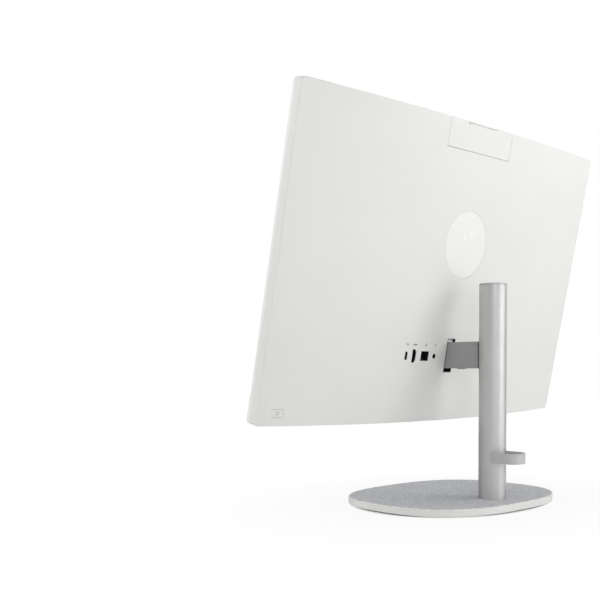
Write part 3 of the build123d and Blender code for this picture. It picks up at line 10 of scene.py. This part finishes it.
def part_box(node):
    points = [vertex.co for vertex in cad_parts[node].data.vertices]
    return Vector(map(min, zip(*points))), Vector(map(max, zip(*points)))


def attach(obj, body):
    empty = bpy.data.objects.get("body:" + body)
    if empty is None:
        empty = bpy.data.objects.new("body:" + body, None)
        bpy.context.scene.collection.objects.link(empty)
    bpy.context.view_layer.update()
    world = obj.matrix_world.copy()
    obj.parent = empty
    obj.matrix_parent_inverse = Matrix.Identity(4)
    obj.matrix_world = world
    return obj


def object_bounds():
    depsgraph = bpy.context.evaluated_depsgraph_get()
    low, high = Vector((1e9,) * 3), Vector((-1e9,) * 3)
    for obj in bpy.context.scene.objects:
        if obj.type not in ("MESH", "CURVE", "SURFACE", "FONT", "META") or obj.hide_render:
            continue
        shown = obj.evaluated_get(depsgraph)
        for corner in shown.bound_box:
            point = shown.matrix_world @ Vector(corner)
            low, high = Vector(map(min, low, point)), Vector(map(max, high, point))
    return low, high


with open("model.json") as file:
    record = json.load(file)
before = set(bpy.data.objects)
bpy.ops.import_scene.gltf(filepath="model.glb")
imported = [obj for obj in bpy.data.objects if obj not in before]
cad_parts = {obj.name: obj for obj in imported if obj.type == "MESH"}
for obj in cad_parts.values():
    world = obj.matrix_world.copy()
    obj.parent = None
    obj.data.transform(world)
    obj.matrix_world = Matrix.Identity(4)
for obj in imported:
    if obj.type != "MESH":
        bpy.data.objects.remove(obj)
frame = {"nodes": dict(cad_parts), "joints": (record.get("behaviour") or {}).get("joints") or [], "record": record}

cad_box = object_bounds()

# ---------------------------------------------------------------- places, from the frame
MM = 0.001
JOINTS = {joint["name"]: joint for joint in frame["joints"]}
RIGHT = Vector((1, 0, 0))
OUT = -Vector(JOINTS["fan_spin"]["axis"]).normalized()     # out of the screen
UP = Vector(JOINTS["camera_lift"]["axis"]).normalized()    # up the head
FRAME_DEPTH = 3.2 * MM                                     # thickness of the front frame
front_low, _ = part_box("front_frame")
HEAD_ORIGIN = Vector((0, front_low.y, front_low.z + FRAME_DEPTH * OUT.z))


def on_head(x, height, depth=0.0):
    """World place of a point on the head: across, up it and behind its front, in metres."""
    return HEAD_ORIGIN + RIGHT * x + UP * height - OUT * depth


def head_place(point):
    """Across, up and depth on the head of a world point."""
    away = Vector(point) - HEAD_ORIGIN
    return away.x, away.dot(UP), -away.dot(OUT)


def middle(node):
    """Middle of a CAD node's box."""
    low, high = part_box(node)
    return (low + high) / 2


# ---------------------------------------------------------------- materials
def maths(tree, operation, first, second):
    """Math node in a node tree; each value is a number or an output to link."""
    node = tree.nodes.new("ShaderNodeMath")
    node.operation = operation
    for socket, value in zip(node.inputs, (first, second)):
        if isinstance(value, (int, float)):
            socket.default_value = value
        else:
            tree.links.new(value, socket)
    return node.outputs["Value"]


class Shader:
    """One procedural material: a Principled shader with helpers for the nodes in front of it."""

    def __init__(self, name, roughness=0.5, metallic=0.0, **sockets):
        self.material = bpy.data.materials.new(name)
        self.material.use_nodes = True
        self.nodes = self.material.node_tree.nodes
        self.links = self.material.node_tree.links
        self.surface = self.nodes["Principled BSDF"]
        self.surface.inputs["Roughness"].default_value = roughness
        self.surface.inputs["Metallic"].default_value = metallic
        for socket, value in sockets.items():
            self.surface.inputs[socket.replace("_", " ")].default_value = value
        self.place = self.nodes.new("ShaderNodeTexCoord").outputs["Object"]

    def stretched(self, scale):
        """Object coordinates stretched along the axes, for grain that runs one way."""
        mapping = self.nodes.new("ShaderNodeMapping")
        mapping.inputs["Scale"].default_value = scale
        self.links.new(self.place, mapping.inputs["Vector"])
        return mapping.outputs["Vector"]

    def noise(self, scale, detail=3.0, rough=0.5, place=None):
        texture = self.nodes.new("ShaderNodeTexNoise")
        texture.inputs["Scale"].default_value = scale
        texture.inputs["Detail"].default_value = detail
        texture.inputs["Roughness"].default_value = rough
        self.links.new(place or self.place, texture.inputs["Vector"])
        return texture.outputs["Fac"]

    def cells(self, scale, place=None, output="Distance"):
        texture = self.nodes.new("ShaderNodeTexVoronoi")
        texture.inputs["Scale"].default_value = scale
        self.links.new(place or self.place, texture.inputs["Vector"])
        return texture.outputs[output]

    def ramp(self, fac, stops):
        """Colour ramp; `stops` are (position, colour or grey)."""
        ramp = self.nodes.new("ShaderNodeValToRGB")
        elements = ramp.color_ramp.elements
        while len(elements) < len(stops):
            elements.new(0.5)
        for element, (position, colour) in zip(elements, stops):
            element.position = position
            element.color = (colour,) * 3 + (1,) if isinstance(colour, float) else (*colour, 1)
        self.links.new(fac, ramp.inputs["Fac"])
        return ramp.outputs["Color"]

    def math(self, operation, first, second):
        return maths(self.material.node_tree, operation, first, second)

    def constant_vector_math(self, operation, vector, value):
        """Vector Math node whose second vector is a constant."""
        node = self.nodes.new("ShaderNodeVectorMath")
        node.operation = operation
        self.links.new(vector, node.inputs[0])
        node.inputs[1].default_value = value
        return node

    def along(self, direction):
        """Distance along a direction of the row frame."""
        return self.constant_vector_math("DOT_PRODUCT", self.place, direction).outputs["Value"]

    def paler_edge(self, colour, pattern):
        """Mixes in the pale cut threads that show where the surface faces sideways."""
        split = self.nodes.new("ShaderNodeSeparateXYZ")
        normal = self.nodes.new("ShaderNodeNewGeometry").outputs["Normal"]
        self.links.new(normal, split.inputs["Vector"])
        sideways = self.math("SUBTRACT", 1.0, self.math("ABSOLUTE", split.outputs["Z"], 0.0))
        threads = self.ramp(pattern, ((0.35, 0.62), (0.6, 0.92)))
        mix = self.nodes.new("ShaderNodeMix")
        mix.data_type = "RGBA"
        self.links.new(sideways, mix.inputs["Factor"])
        self.links.new(colour, mix.inputs["A"])
        self.links.new(threads, mix.inputs["B"])
        return mix.outputs["Result"]

    def to(self, socket, output):
        self.links.new(output, self.surface.inputs[socket])
        return self

    def bump(self, height, strength, distance):
        """Adds one more layer of bump under the shader's normal."""
        node = self.nodes.new("ShaderNodeBump")
        node.inputs["Strength"].default_value = strength
        node.inputs["Distance"].default_value = distance
        self.links.new(height, node.inputs["Height"])
        normal = self.surface.inputs["Normal"]
        if normal.is_linked:
            self.links.new(normal.links[0].from_socket, node.inputs["Normal"])
        self.links.new(node.outputs["Normal"], normal)
        return self


def shade(colour, factor):
    """A colour made lighter or darker."""
    return tuple(min(1.0, channel * factor) for channel in colour)


def moulded(name, colour, roughness=0.5, grain=2600.0, depth=0.05, change=0.035, **sockets):
    """Moulded plastic: eroded mould grain, faint flow marks, small changes of gloss."""
    made = Shader(name, roughness, **sockets)
    flow = made.noise(9.0, 4.0, 0.6)
    tones = ((0.35, shade(colour, 1 - change)), (0.65, shade(colour, 1 + change)))
    made.to("Base Color", made.ramp(flow, tones))
    patches = made.noise(26.0, 3.0)
    made.to("Roughness", made.ramp(patches, ((0.3, roughness - 0.05), (0.7, roughness + 0.05))))
    made.bump(made.noise(grain, 2.0, 0.6), 0.35, depth * MM)
    return made.material


def metal(name, colour, roughness, stretch=(1, 1, 1), grain=1800.0, depth=0.012, change=0.06, **sockets):
    """Bare or anodised metal with grain that runs along one direction."""
    made = Shader(name, roughness, 1.0, **sockets)
    place = made.stretched(stretch)
    streaks = made.noise(grain, 3.0, 0.6, place)
    tones = ((0.3, shade(colour, 1 - change)), (0.7, shade(colour, 1 + change)))
    made.to("Base Color", made.ramp(streaks, tones))
    clouds = made.noise(60.0, 2.0)
    made.to("Roughness", made.ramp(clouds, ((0.3, roughness - 0.03), (0.7, roughness + 0.04))))
    made.bump(streaks, 0.5, depth * MM)
    return made.material


def board(name, colour):
    """Circuit board: solder mask with darker copper areas and fine traces under it."""
    made = Shader(name, 0.38)
    blocks = made.cells(240.0)
    tones = ((0.2, shade(colour, 0.6)), (0.45, colour), (0.7, shade(colour, 1.7)))
    made.to("Base Color", made.ramp(blocks, tones))
    made.bump(made.noise(900.0, 2.0), 0.3, 0.03 * MM)
    return made.material


FELT = (0.465, 0.475, 0.50)
TUFTS_PER_METRE = 880.0
FINE_TUFTS = 2.2             # times as many fine tufts as coarse ones
TUFT_SHARES = (0.62, 0.23, 0.15)                          # coarse tufts, fine tufts, clumps


def covering():
    """Salt and pepper felt on the base: matted tufts, light and dark, paler along its cut edge."""
    made = Shader("skin_grey", 0.9)
    warp = made.stretched((1, 0.8, 1))
    tufts = made.cells(TUFTS_PER_METRE, warp, output="Color")
    fine = made.cells(FINE_TUFTS * TUFTS_PER_METRE, output="Color")
    clumps = made.noise(260.0, 3.0, 0.6)
    shares = zip((tufts, fine, clumps), TUFT_SHARES)
    parts = [made.math("MULTIPLY", pattern, share) for pattern, share in shares]
    mixed = made.math("ADD", made.math("ADD", parts[0], parts[1]), parts[2])
    speckle = made.ramp(mixed, ((0.2, shade(FELT, 0.6)), (0.5, FELT), (0.8, shade(FELT, 1.45))))
    made.to("Base Color", made.paler_edge(speckle, mixed))
    made.bump(mixed, 0.7, 0.22 * MM)
    made.surface.inputs["Sheen Weight"].default_value = 0.25
    return made.material


GLASS_BORDER = 6.5 * MM      # black edge round the picture


def display():
    """Black glass with the picture area just visible behind it, inside a blacker border."""
    made = Shader("screen_glass", 0.08)
    low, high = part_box("lcd_glass")
    across = made.math("ABSOLUTE", made.along(RIGHT), 0.0)
    centre = (low + high) / 2
    up = made.math("ABSOLUTE", made.math("SUBTRACT", made.along(UP), centre.dot(UP)), 0.0)
    half_tall = (high.z - low.z) / UP.z / 2
    inside_x = made.math("LESS_THAN", across, high.x - GLASS_BORDER)
    inside_up = made.math("LESS_THAN", up, half_tall - GLASS_BORDER)
    picture = made.math("MULTIPLY", inside_x, inside_up)
    clouds = made.math("MULTIPLY", made.noise(30.0, 2.0), 0.1)
    made.to("Base Color", made.ramp(made.math("SUBTRACT", picture, clouds), ((0.1, 0.004), (0.9, 0.016))))
    made.bump(made.noise(300.0, 2.0), 0.2, 0.002 * MM)
    return made.material


COVER = (0.80, 0.795, 0.775)
MATERIALS = {
    "cover_white": moulded("cover_white", COVER, 0.48, change=0.01),
    # frame_white is the cover's white plastic made lighter (0.88 against 0.80): painted light, so that the head's
    # side strip looks more brightly lit than the back
    "frame_white": moulded("frame_white", (0.88, 0.875, 0.86), 0.45, change=0.01),
    "rim_white": moulded("rim_white", (0.76, 0.755, 0.735), 0.42),
    "skin_grey": covering(),
    "pole_silver": metal(
        "pole_silver", (0.60, 0.60, 0.60), 0.50, stretch=(60, 60, 1), grain=9.0, depth=0.004, change=0.012
    ),
    "clip_silver": moulded("clip_silver", (0.50, 0.50, 0.495), 0.38, grain=3200.0, depth=0.03),
    "arm_grey": moulded("arm_grey", (0.34, 0.34, 0.34), 0.5, grain=3000.0, depth=0.04),
    "cast_metal": metal("cast_metal", (0.66, 0.66, 0.66), 0.42, grain=1400.0, depth=0.05),
    "steel": metal("steel", (0.60, 0.60, 0.61), 0.36, stretch=(1, 14, 1), grain=300.0),
    "foot_rubber": moulded("foot_rubber", (0.035, 0.035, 0.035), 0.8, grain=1800.0, depth=0.08),
    "black_plastic": moulded("black_plastic", (0.012, 0.012, 0.012), 0.5, grain=2400.0, depth=0.04),
    "badge_gloss": moulded("badge_gloss", (0.91, 0.91, 0.895), 0.24, grain=400.0, depth=0.01, change=0.01),
    "screen_glass": display(),
    "film": moulded("film", (0.85, 0.85, 0.85), 0.3, grain=900.0, depth=0.01),
    "acrylic": moulded("acrylic", (0.8, 0.84, 0.86), 0.1, grain=700.0, depth=0.01),
    "board_green": board("board_green", (0.012, 0.085, 0.045)),
    "chip_black": moulded("chip_black", (0.02, 0.02, 0.02), 0.45, grain=1600.0, depth=0.02),
    "copper": metal("copper", (0.78, 0.40, 0.24), 0.3, stretch=(1, 9, 1), grain=400.0),
    "fin_aluminium": metal("fin_aluminium", (0.78, 0.78, 0.79), 0.35, stretch=(6, 1, 1), grain=700.0),
    "camera_glass": moulded(
        "camera_glass", (0.004, 0.004, 0.005), 0.06, grain=300.0, depth=0.002, change=0.2
    ),
    "contact_gold": metal("contact_gold", (0.42, 0.38, 0.30), 0.4, grain=900.0, depth=0.004),
    "mark_grey": moulded("mark_grey", (0.15, 0.15, 0.15), 0.6, depth=0.01),
}

SLOT_OF_NODE = {row["node"]: row["material_slot"] for row in frame["record"]["subparts"]}
for node_name, node in frame["nodes"].items():
    material = MATERIALS[SLOT_OF_NODE[node_name]]
    node.data.materials.clear()
    node.data.materials.append(material)

# ---------------------------------------------------------------- small pieces
def add_mesh(name, points, faces, body, slot):
    """A new piece made of points and faces in the row frame, riding on a body."""
    mesh = bpy.data.meshes.new(name)
    mesh.from_pydata([tuple(point) for point in points], [], faces)
    cleaned = bmesh.new()
    cleaned.from_mesh(mesh)
    bmesh.ops.recalc_face_normals(cleaned, faces=cleaned.faces)
    cleaned.to_mesh(mesh)
    cleaned.free()
    mesh.materials.append(MATERIALS[slot])
    made = bpy.data.objects.new(name, mesh)
    bpy.context.scene.collection.objects.link(made)
    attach(made, body)
    return made


def tree_of(node):
    """Search tree of a CAD node's mesh, for finding its surface."""
    mesh = frame["nodes"][node].data
    points = [vertex.co.copy() for vertex in mesh.vertices]
    return BVHTree.FromPolygons(points, [list(polygon.vertices) for polygon in mesh.polygons])


RAY_START = 0.3              # rays start this far outside the head


def on_surface(tree, x, height, lift, facing):
    """Point of a node's outside on the side that faces a direction, lifted by a small height."""
    hit = tree.ray_cast(on_head(x, height) + facing * RAY_START, -facing)[0]
    return hit + facing * lift


INK_LIFT = 0.06 * MM
INK_DEPTH = 0.05 * MM


def printed(name, tree, strips, body, facing=-OUT):
    """Ink on a node: each strip is a list of (x, height) pairs, left and right edge in turn."""
    points = []
    faces = []
    for strip in strips:
        first = len(points)
        for x, height in strip:
            points.append(on_surface(tree, x, height, INK_LIFT, facing))
            points.append(on_surface(tree, x, height, INK_LIFT - INK_DEPTH, facing))
        last = len(strip) - 2
        for pair in range(0, last, 2):
            a = first + 2 * pair
            faces.append((a, a + 2, a + 6, a + 4))
            faces.append((a + 1, a + 5, a + 7, a + 3))
            faces.append((a, a + 4, a + 5, a + 1))
            faces.append((a + 2, a + 3, a + 7, a + 6))
        a = first
        faces.append((a, a + 1, a + 3, a + 2))
        a = first + 2 * last
        faces.append((a, a + 2, a + 3, a + 1))
    return add_mesh(name, points, faces, body, "mark_grey")


def stroke(path, width):
    """Strip of a given width along a path of (x, height) points."""
    strip = []
    for index, (x, height) in enumerate(path):
        before = path[max(index - 1, 0)]
        after = path[min(index + 1, len(path) - 1)]
        along = Vector((after[0] - before[0], after[1] - before[1])).normalized()
        side = Vector((-along.y, along.x)) * width / 2
        strip.append((x + side.x, height + side.y))
        strip.append((x - side.x, height - side.y))
    return strip


def arc(x, height, radius, start, end, steps):
    """Points on an arc; angles in degrees, from +x towards up."""
    path = []
    for step in range(steps + 1):
        angle = math.radians(start + (end - start) * step / steps)
        path.append((x + radius * math.cos(angle), height + radius * math.sin(angle)))
    return path


def square(x, height, size):
    return stroke([(x - size / 2, height), (x + size / 2, height)], size)


cover_tree = tree_of("rear_cover")
INK = 0.5 * MM
MARK = 3.2 * MM              # length of a mark
MARK_RISE = 12.6 * MM        # the marks sit this far above the middle of the sockets
PORT_ACROSS = {}
for node in ("usb_c_socket", "hdmi_socket", "ethernet_socket", "power_jack"):
    PORT_ACROSS[node], PORT_HEIGHT, _ = head_place(middle(node))     # all four are at one height
mark_height = PORT_HEIGHT + MARK_RISE


def capsule_mark(x, height):
    """Outline of a small round-ended slot."""
    radius = MARK / 5
    right = arc(x + MARK / 2 - radius, height, radius, -90, 90, 8)
    left = arc(x - MARK / 2 + radius, height, radius, 90, 270, 8)
    return [stroke(right + left + right[:1], INK)]


def display_mark(x, height):
    """A small flat screen, filled in, on a foot."""
    half = MARK * 0.95
    below = height - MARK * 0.35
    screen = stroke([(x - half, height), (x + half, height)], MARK * 0.34)
    foot = stroke([(x - half / 2, below), (x + half / 2, below)], INK / 2)
    return [screen, foot]


def network_mark(x, height):
    """Three small squares joined by lines."""
    reach = MARK / 3
    box_size = MARK / 3
    line = INK * 0.7
    strips = [square(x, height + reach, box_size)]
    strips.append(stroke([(x, height + reach), (x, height)], line))
    strips.append(stroke([(x - reach, height), (x + reach, height)], line))
    for side in (-1, 1):
        strips.append(stroke([(x + side * reach, height), (x + side * reach, height - reach)], line))
        strips.append(square(x + side * reach, height - reach, box_size))
    return strips


def direct_current_mark(x, height):
    """A line beside three dashes, standing on end."""
    half = MARK / 2
    gap = MARK / 7
    dash = MARK / 4
    strips = [stroke([(x - gap, height - half), (x - gap, height + half)], INK)]
    for step in (-1, 0, 1):
        middle_of_dash = height + step * (half - dash / 2)
        ends = [(x + gap, middle_of_dash - dash / 2), (x + gap, middle_of_dash + dash / 2)]
        strips.append(stroke(ends, INK))
    return strips


strips = capsule_mark(PORT_ACROSS["usb_c_socket"], mark_height)
strips += display_mark(PORT_ACROSS["hdmi_socket"], mark_height)
strips += network_mark(PORT_ACROSS["ethernet_socket"], mark_height)
strips += direct_current_mark(PORT_ACROSS["power_jack"], mark_height)
printed("socket_marks", cover_tree, strips, "head")

# Open ring with an upright line in its gap, on the power button
SYMBOL_RADIUS = 1.7 * MM
SYMBOL_INK = 0.3 * MM
SYMBOL_DROP = 0.2 * MM       # the ring sits a little below the button's middle
SYMBOL_ARC = (125, 415)      # where the ring starts and ends, in degrees
SYMBOL_TICK = (0.1 * MM, 2.0 * MM)                        # ends of the line, above the button's middle
button_x, button_height, _ = head_place(middle("power_button"))
ring = stroke(arc(button_x, button_height - SYMBOL_DROP, SYMBOL_RADIUS, *SYMBOL_ARC, 24), SYMBOL_INK)
tick = stroke([(button_x, button_height + rise) for rise in SYMBOL_TICK], SYMBOL_INK)
printed("power_symbol", tree_of("power_button"), [ring, tick], "power_button")

# Rings round the eye of the pop-up camera, its lamp and its two microphone holes
EYE_RINGS = ((3.2, 0.5), (1.5, 0.3))                      # radius and width in millimetres
EYE_DOTS = ((7.5, 1.0), (-12.0, 0.8), (12.0, 0.8))        # place across and size in millimetres
eye_x, eye_height, _ = head_place(middle("camera_lens"))
strips = []
for radius, width in EYE_RINGS:
    strips.append(stroke(arc(eye_x, eye_height, radius * MM, 0, 360, 32), width * MM))
for across, size in EYE_DOTS:
    strips.append(square(eye_x + across * MM, eye_height, size * MM))
printed("camera_eye_marks", tree_of("camera_window"), strips, "camera", OUT)

# Eight sprung contacts in the network socket
CONTACTS = 8
CONTACT_PITCH = 1.02 * MM
CONTACT_HALF = 0.17 * MM
# Side view of one contact: rise above the socket's middle and depth on the head, in millimetres
CONTACT_PROFILE = ((-4.6, 28.6), (-4.2, 28.6), (-2.2, 22.8), (-4.6, 21.2), (-4.6, 21.7), (-2.8, 22.9))
socket_x = PORT_ACROSS["ethernet_socket"]
points = []
faces = []
for index in range(CONTACTS):
    x = socket_x + (index - (CONTACTS - 1) / 2) * CONTACT_PITCH
    first = len(points)
    for side in (-CONTACT_HALF, CONTACT_HALF):
        for rise, depth in CONTACT_PROFILE:
            points.append(on_head(x + side, PORT_HEIGHT + rise * MM, depth * MM))
    count = len(CONTACT_PROFILE)
    faces.append(tuple(first + step for step in range(count)))
    faces.append(tuple(first + count + step for step in reversed(range(count))))
    for step in range(count):
        following = (step + 1) % count
        faces.append((first + step, first + following, first + count + following, first + count + step))
add_mesh("network_contacts", points, faces, "head", "contact_gold")

# ---------------------------------------------------------------- camera, light, floor
CAMERA_PLACE = (0.86814, 0.61823, 0.16111)
CAMERA_HEADING = math.radians(138.09)      # about +Z from looking along +Y
CAMERA_PITCH = math.radians(-0.86)
SENSOR_WIDTH = 36.0
FOCAL_LENGTH = 54.48
SHIFT = (0.0855, 0.1233)
CLIP_START = 0.01
camera = bpy.data.objects.new("camera", bpy.data.cameras.new("camera"))
bpy.context.scene.collection.objects.link(camera)
camera.location = CAMERA_PLACE
camera.rotation_euler = (math.pi / 2 + CAMERA_PITCH, 0, CAMERA_HEADING)
camera.data.sensor_width = SENSOR_WIDTH
camera.data.lens = FOCAL_LENGTH
camera.data.shift_x, camera.data.shift_y = SHIFT
camera.data.clip_start = CLIP_START
bpy.context.scene.camera = camera

TARGET = Vector((0, 0.03, 0.2))


def studio_lamp(name, azimuth, elevation, distance, size, power):
    """Square lamp that shines at the object: azimuth from +X towards +Y, in degrees."""
    turn = math.radians(azimuth)
    rise = math.radians(elevation)
    level = math.cos(rise)
    away = Vector((math.cos(turn) * level, math.sin(turn) * level, math.sin(rise)))
    data = bpy.data.lights.new(name, "AREA")
    data.size = size
    data.energy = power
    lamp = bpy.data.objects.new(name, data)
    bpy.context.scene.collection.objects.link(lamp)
    lamp.location = TARGET + away * distance
    lamp.rotation_euler = (-away).to_track_quat("-Z", "Y").to_euler()


studio_lamp("key", azimuth=111, elevation=5, distance=0.9, size=0.75, power=3.3)
studio_lamp("right", azimuth=140, elevation=30, distance=0.9, size=0.5, power=1.9)
studio_lamp("fill", azimuth=56, elevation=15, distance=1.5, size=0.8, power=3.6)
studio_lamp("left", azimuth=-30, elevation=25, distance=1.8, size=1.0, power=9.0)
studio_lamp("front", azimuth=-90, elevation=60, distance=1.8, size=1.4, power=6.5)
studio_lamp("top", azimuth=90, elevation=78, distance=1.8, size=1.0, power=3.7)

LEFT_WALL = 0.70             # brightness of the room on either side of the screen
RIGHT_WALL = 0.48


def studio_world():
    """Pale room with a bright wall on either side of the screen, and a white ground for the camera."""
    world = bpy.data.worlds.new("studio")
    bpy.context.scene.world = world
    world.use_nodes = True
    nodes = world.node_tree.nodes
    links = world.node_tree.links
    split = nodes.new("ShaderNodeSeparateXYZ")
    links.new(nodes.new("ShaderNodeTexCoord").outputs["Generated"], split.inputs["Vector"])

    tree = world.node_tree
    across = split.outputs["X"]
    left = maths(tree, "MULTIPLY", maths(tree, "MAXIMUM", across, 0.0), LEFT_WALL)
    other_way = maths(tree, "MULTIPLY", across, -1.0)
    right = maths(tree, "MULTIPLY", maths(tree, "MAXIMUM", other_way, 0.0), RIGHT_WALL)
    light = maths(tree, "ADD", left, right)
    seen = nodes.new("ShaderNodeLightPath").outputs["Is Camera Ray"]
    links.new(maths(tree, "MAXIMUM", light, seen), nodes["Background"].inputs["Strength"])
    nodes["Background"].inputs["Color"].default_value = (1, 1, 1, 1)


studio_world()
bpy.context.scene.view_settings.view_transform = "Standard"

FLOOR_SIZE = 30.0
# Share of plain white in the floor, at distances from the middle of the base where 1 is its edge:
# real shading under the base, a faint shadow beside it, white further out.
FLOOR_WHITE = ((1.0, 0.0), (1.06, 0.86), (2.6, 1.0))


def studio_floor():
    """Pale floor that keeps the soft shadow under the base and turns white further out."""
    made = Shader("floor", 0.7)
    made.to("Base Color", made.ramp(made.noise(2.0), ((0.3, 0.90), (0.7, 0.93))))
    low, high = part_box("base_shell")
    centre = (low + high) / 2
    half = (high - low) / 2
    away = made.place
    for operation, value in (("SUBTRACT", (centre.x, centre.y, 0)), ("DIVIDE", (half.x, half.y, 1))):
        away = made.constant_vector_math(operation, away, value).outputs["Vector"]
    distance = made.nodes.new("ShaderNodeVectorMath")
    distance.operation = "LENGTH"
    made.links.new(away, distance.inputs[0])
    furthest = FLOOR_WHITE[-1][0]
    fade = made.ramp(
        made.math("DIVIDE", distance.outputs["Value"], furthest),
        [(reach / furthest, share) for reach, share in FLOOR_WHITE],
    )
    white = made.nodes.new("ShaderNodeEmission")
    seen = made.nodes.new("ShaderNodeLightPath").outputs["Is Camera Ray"]
    mix = made.nodes.new("ShaderNodeMixShader")
    made.links.new(made.math("MULTIPLY", fade, seen), mix.inputs["Fac"])
    made.links.new(made.surface.outputs["BSDF"], mix.inputs[1])
    made.links.new(white.outputs["Emission"], mix.inputs[2])
    made.links.new(mix.outputs["Shader"], made.nodes["Material Output"].inputs["Surface"])
    bpy.ops.mesh.primitive_plane_add(size=FLOOR_SIZE, location=(0, 0, cad_box[0].z))
    floor = bpy.context.object
    floor.name = "floor"
    floor.data.materials.append(made.material)


studio_floor()
